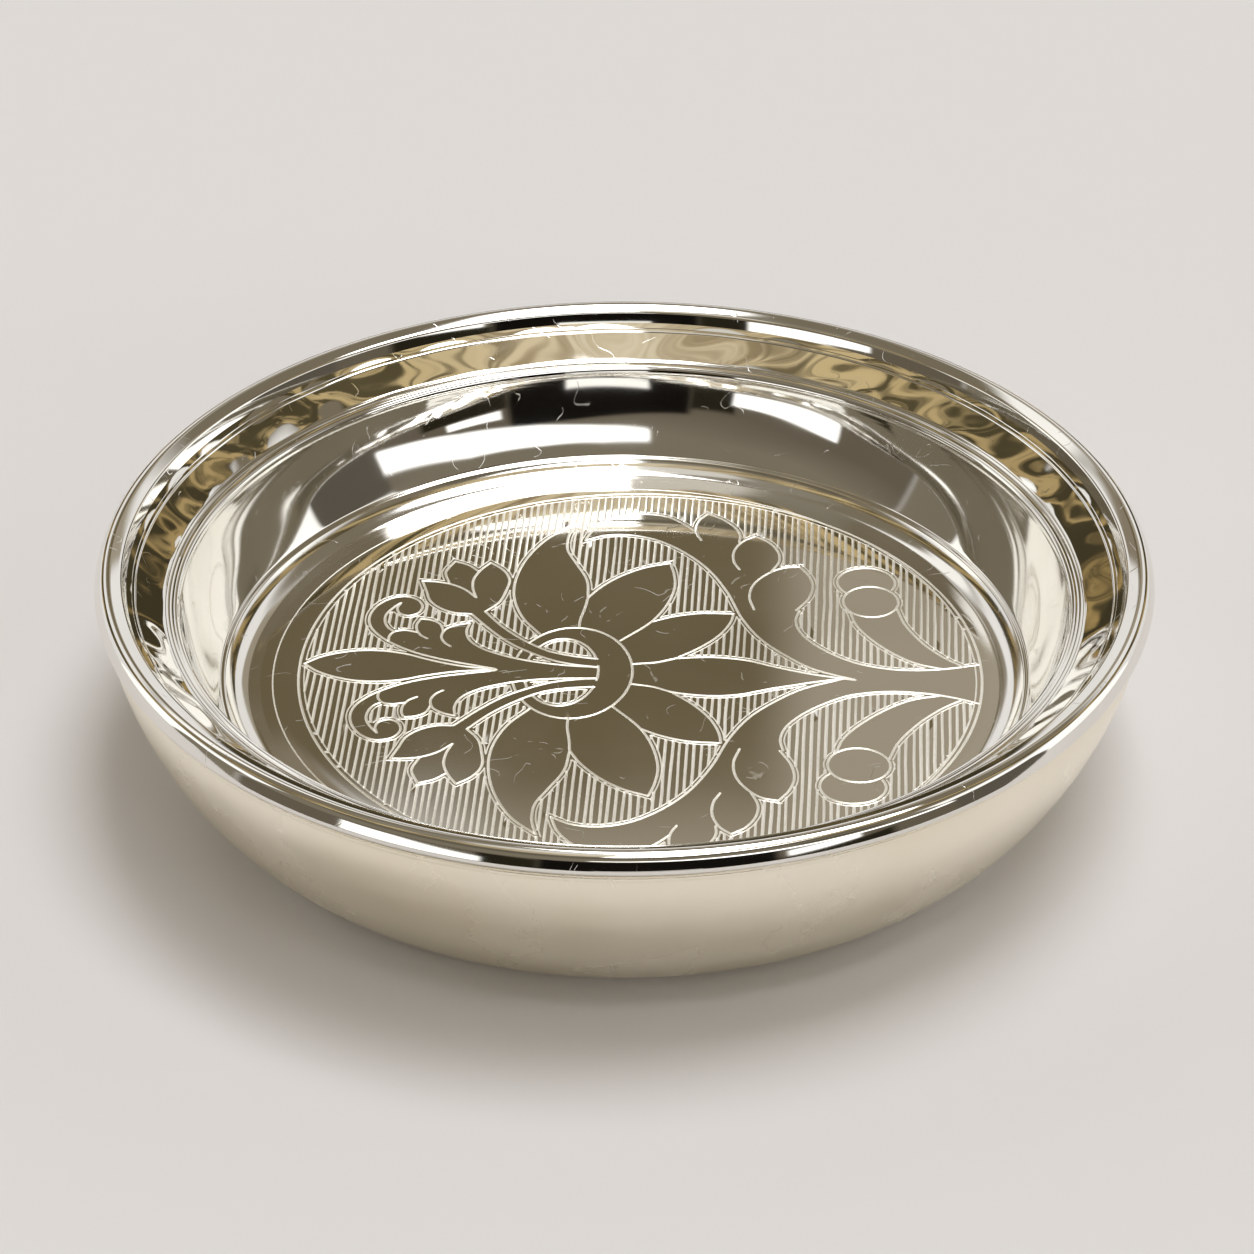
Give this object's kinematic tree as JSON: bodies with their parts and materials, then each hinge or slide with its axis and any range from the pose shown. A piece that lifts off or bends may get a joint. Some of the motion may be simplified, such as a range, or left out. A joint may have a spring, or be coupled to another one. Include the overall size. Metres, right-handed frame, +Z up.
{
  "type": "decorative plate",
  "caption": "Round double-walled dish of polished metal with a wired rim, a sloping band, a hollow wall and a flat floor engraved with a lotus ornament.",
  "frame": {"origin": "middle of the base, on the surface that the dish stands on", "axes": "+Z up along the dish's own axis; +X along the engraved ornament towards its stem's foot"},
  "size_m": [0.152, 0.152, 0.0325],
  "materials": {
    "dish_metal": "mirror-polished nickel silver with fine wear and an engraved floor",
    "casing_metal": "soft mirror-polished nickel silver",
    "rim_wire": "drawn wire, unpolished"
  },
  "bodies": {
    "root": {"inner_dish": "dish_metal", "outer_casing": "casing_metal", "rim_wire": "rim_wire"}
  },
  "joints": []
}
